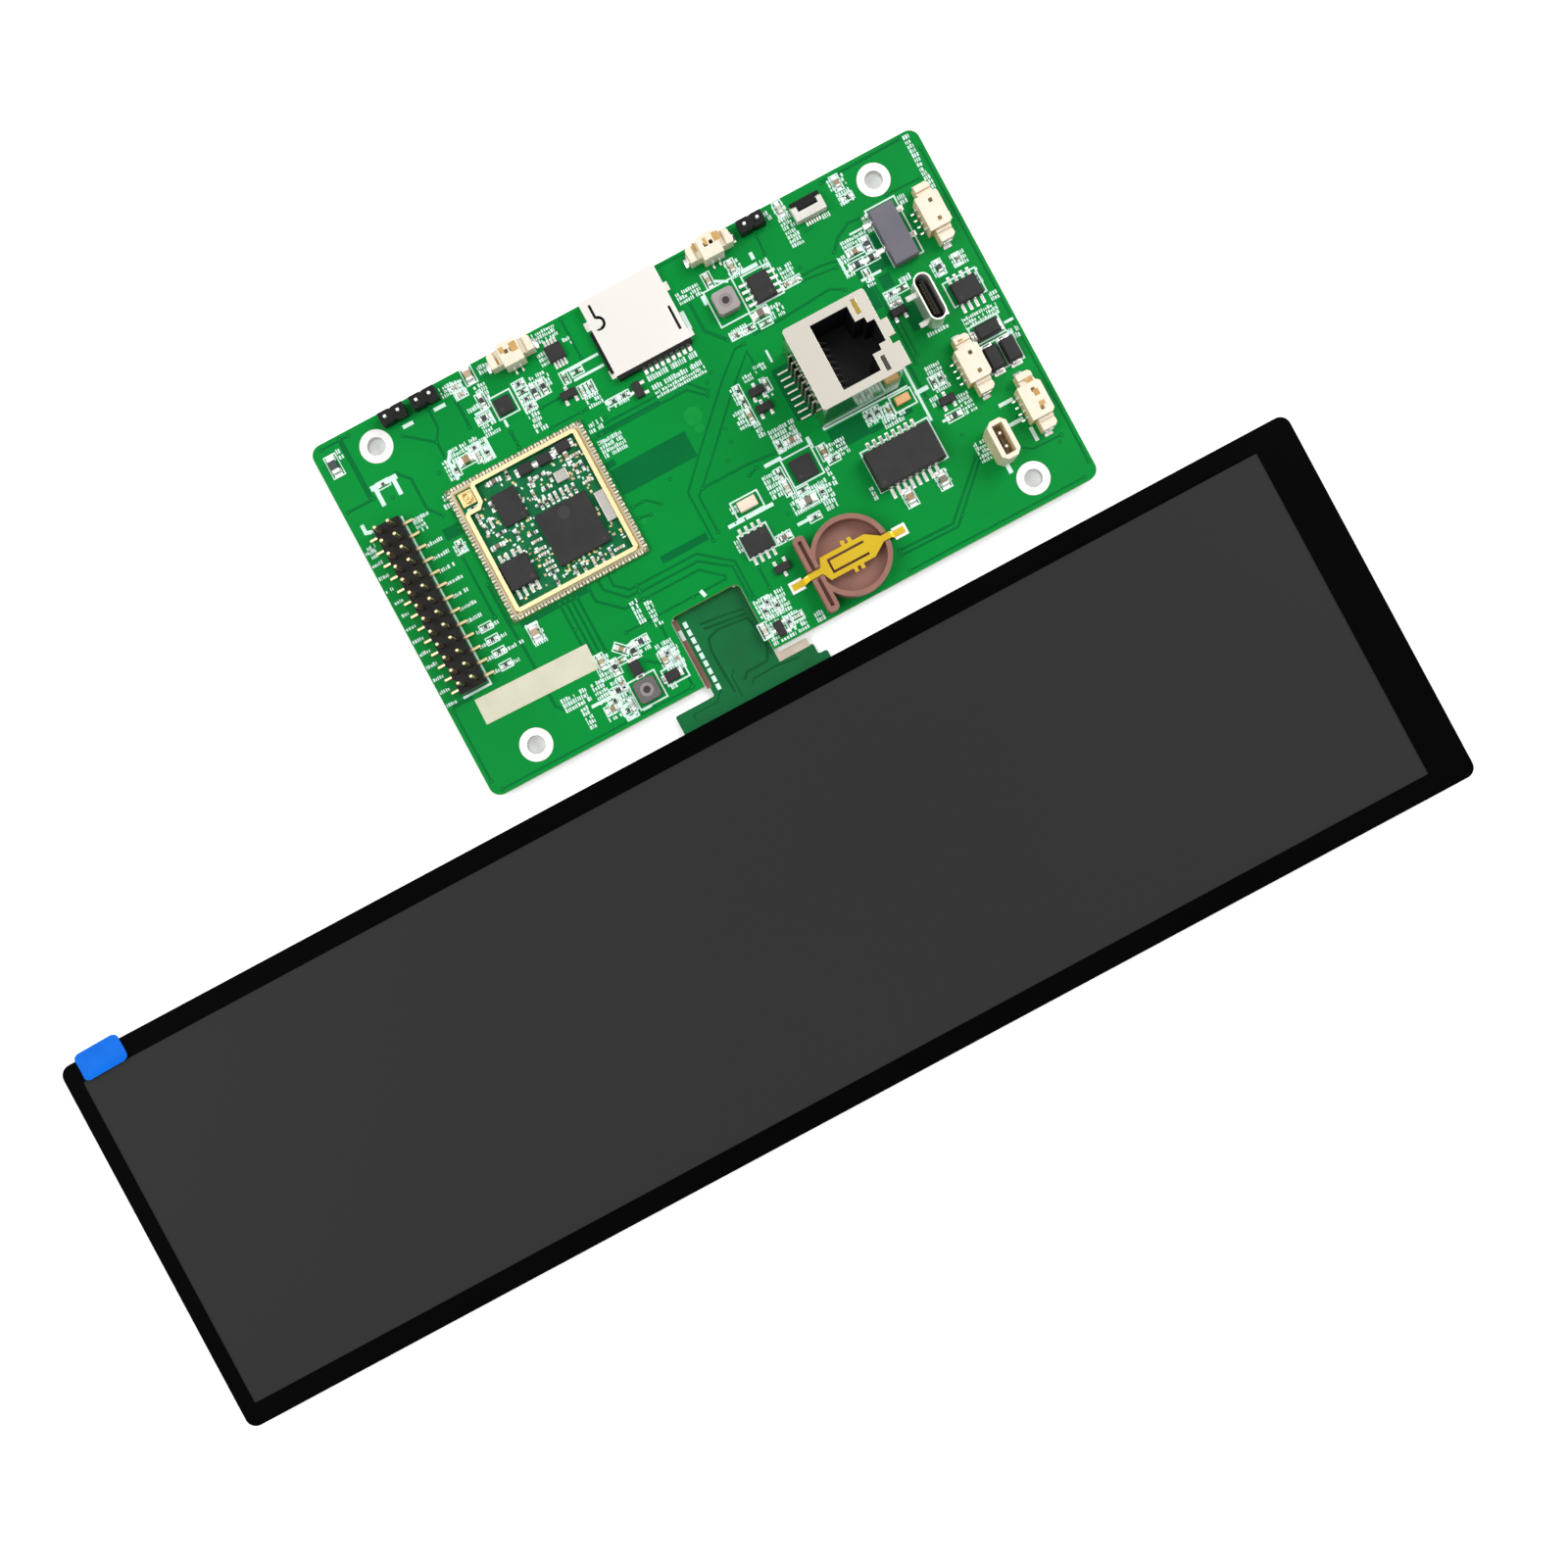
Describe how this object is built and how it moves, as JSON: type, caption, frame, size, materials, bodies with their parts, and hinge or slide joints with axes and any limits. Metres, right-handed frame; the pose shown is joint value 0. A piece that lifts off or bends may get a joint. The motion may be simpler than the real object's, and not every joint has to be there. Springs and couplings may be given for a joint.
{
  "type": "lcd display module",
  "caption": "Bar-shaped colour display panel with a black frame, joined by a flat printed tail to a green control board with sockets, chips and pin headers.",
  "frame": {"origin": "centre of the panel's back face", "axes": "+X along the panel's length, +Y from the panel towards the control board, +Z out of the screen"},
  "size_m": [0.2468, 0.1482, 0.0184],
  "materials": {
    "front_bezel": "satin black",
    "rear_tray": "rolled",
    "middle_frame": "matt white",
    "reflector_sheet": "white film",
    "light_guide": "clear moulding",
    "diffuser_sheet": "white film",
    "prism_sheet": "ribbed film",
    "backlight_strip": "printed flex",
    "backlight_leds": "moulded",
    "rear_polariser": "film",
    "rear_glass": "clear",
    "front_glass": "dark",
    "front_polariser": "hard coated film",
    "driver_chip": "polished silicon",
    "pull_tab": "film",
    "display_tail": "printed flex",
    "tail_stiffener": "film",
    "tail_socket_housing": "moulded",
    "tail_socket_latch": "moulded",
    "ribbon_contacts": "tinned",
    "circuit_board": "solder mask",
    "mounting_rings": "tinned",
    "sticker": "smooth",
    "core_board": "solder mask",
    "core_pads": "plated",
    "shield_fence": "plated",
    "processor": "moulded",
    "quad_chips": "moulded",
    "small_outline_chips": "moulded",
    "package_leads": "tinned",
    "antenna_socket": "plated",
    "crystals": "plated",
    "chip_capacitors": "fired",
    "chip_resistors": "glazed",
    "tantalum_capacitors": "moulded",
    "power_inductors": "ferrite",
    "transistor_packages": "moulded",
    "rectifier_diodes": "moulded",
    "oscillator_block": "moulded",
    "line_transformer": "moulded",
    "pin_header_housing": "moulded",
    "pin_header_pins": "plated",
    "jumper_housings": "moulded",
    "through_pins": "tinned",
    "card_socket_base": "moulded",
    "card_socket_cover": "tinned",
    "card_socket_contacts": "tinned",
    "network_jack_shell": "bright tinplate",
    "network_jack_insert": "moulded",
    "network_jack_contacts": "plated",
    "jack_lamp_windows": "moulded",
    "usb_socket_shell": "tinned",
    "usb_socket_core": "moulded",
    "wafer_housings": "moulded nylon",
    "wafer_pins": "tinned",
    "touch_socket_housing": "moulded",
    "touch_socket_latch": "moulded",
    "coin_holder": "moulded",
    "coin_holder_spring": "plated"
  },
  "bodies": {
    "module": {"front_bezel": "front_bezel", "rear_tray": "rear_tray", "middle_frame": "middle_frame", "reflector_sheet": "reflector_sheet", "light_guide": "light_guide", "diffuser_sheet": "diffuser_sheet", "prism_sheet": "prism_sheet", "backlight_strip": "backlight_strip", "backlight_leds": "backlight_leds", "rear_polariser": "rear_polariser", "rear_glass": "rear_glass", "front_glass": "front_glass", "front_polariser": "front_polariser", "driver_chip": "driver_chip", "pull_tab": "pull_tab", "display_tail": "display_tail", "tail_stiffener": "tail_stiffener", "tail_socket_housing": "tail_socket_housing", "ribbon_contacts": "ribbon_contacts", "circuit_board": "circuit_board", "mounting_rings": "mounting_rings", "sticker": "sticker", "core_board": "core_board", "core_pads": "core_pads", "shield_fence": "shield_fence", "processor": "processor", "quad_chips": "quad_chips", "small_outline_chips": "small_outline_chips", "package_leads": "package_leads", "antenna_socket": "antenna_socket", "crystals": "crystals", "chip_capacitors": "chip_capacitors", "chip_resistors": "chip_resistors", "tantalum_capacitors": "tantalum_capacitors", "power_inductors": "power_inductors", "transistor_packages": "transistor_packages", "rectifier_diodes": "rectifier_diodes", "oscillator_block": "oscillator_block", "line_transformer": "line_transformer", "pin_header_housing": "pin_header_housing", "pin_header_pins": "pin_header_pins", "jumper_housings": "jumper_housings", "through_pins": "through_pins", "card_socket_base": "card_socket_base", "card_socket_cover": "card_socket_cover", "card_socket_contacts": "card_socket_contacts", "network_jack_shell": "network_jack_shell", "network_jack_insert": "network_jack_insert", "network_jack_contacts": "network_jack_contacts", "jack_lamp_windows": "jack_lamp_windows", "usb_socket_shell": "usb_socket_shell", "usb_socket_core": "usb_socket_core", "wafer_housings": "wafer_housings", "wafer_pins": "wafer_pins", "touch_socket_housing": "touch_socket_housing", "coin_holder": "coin_holder", "coin_holder_spring": "coin_holder_spring"},
    "touch_latch": {"touch_socket_latch": "touch_socket_latch"},
    "tail_latch": {"tail_socket_latch": "tail_socket_latch"}
  },
  "joints": [
    {"name": "touch_latch_hinge", "type": "hinge", "parent": "module", "child": "touch_latch", "pos_m": [0.0658, 0.10825, 0.005], "axis": [1, 0, 0], "range_deg": [0, 90]},
    {"name": "tail_latch_hinge", "type": "hinge", "parent": "module", "child": "tail_latch", "pos_m": [0.0165, 0.05835, 0.0006], "axis": [1, 0, 0], "range_deg": [0, 90]}
  ]
}
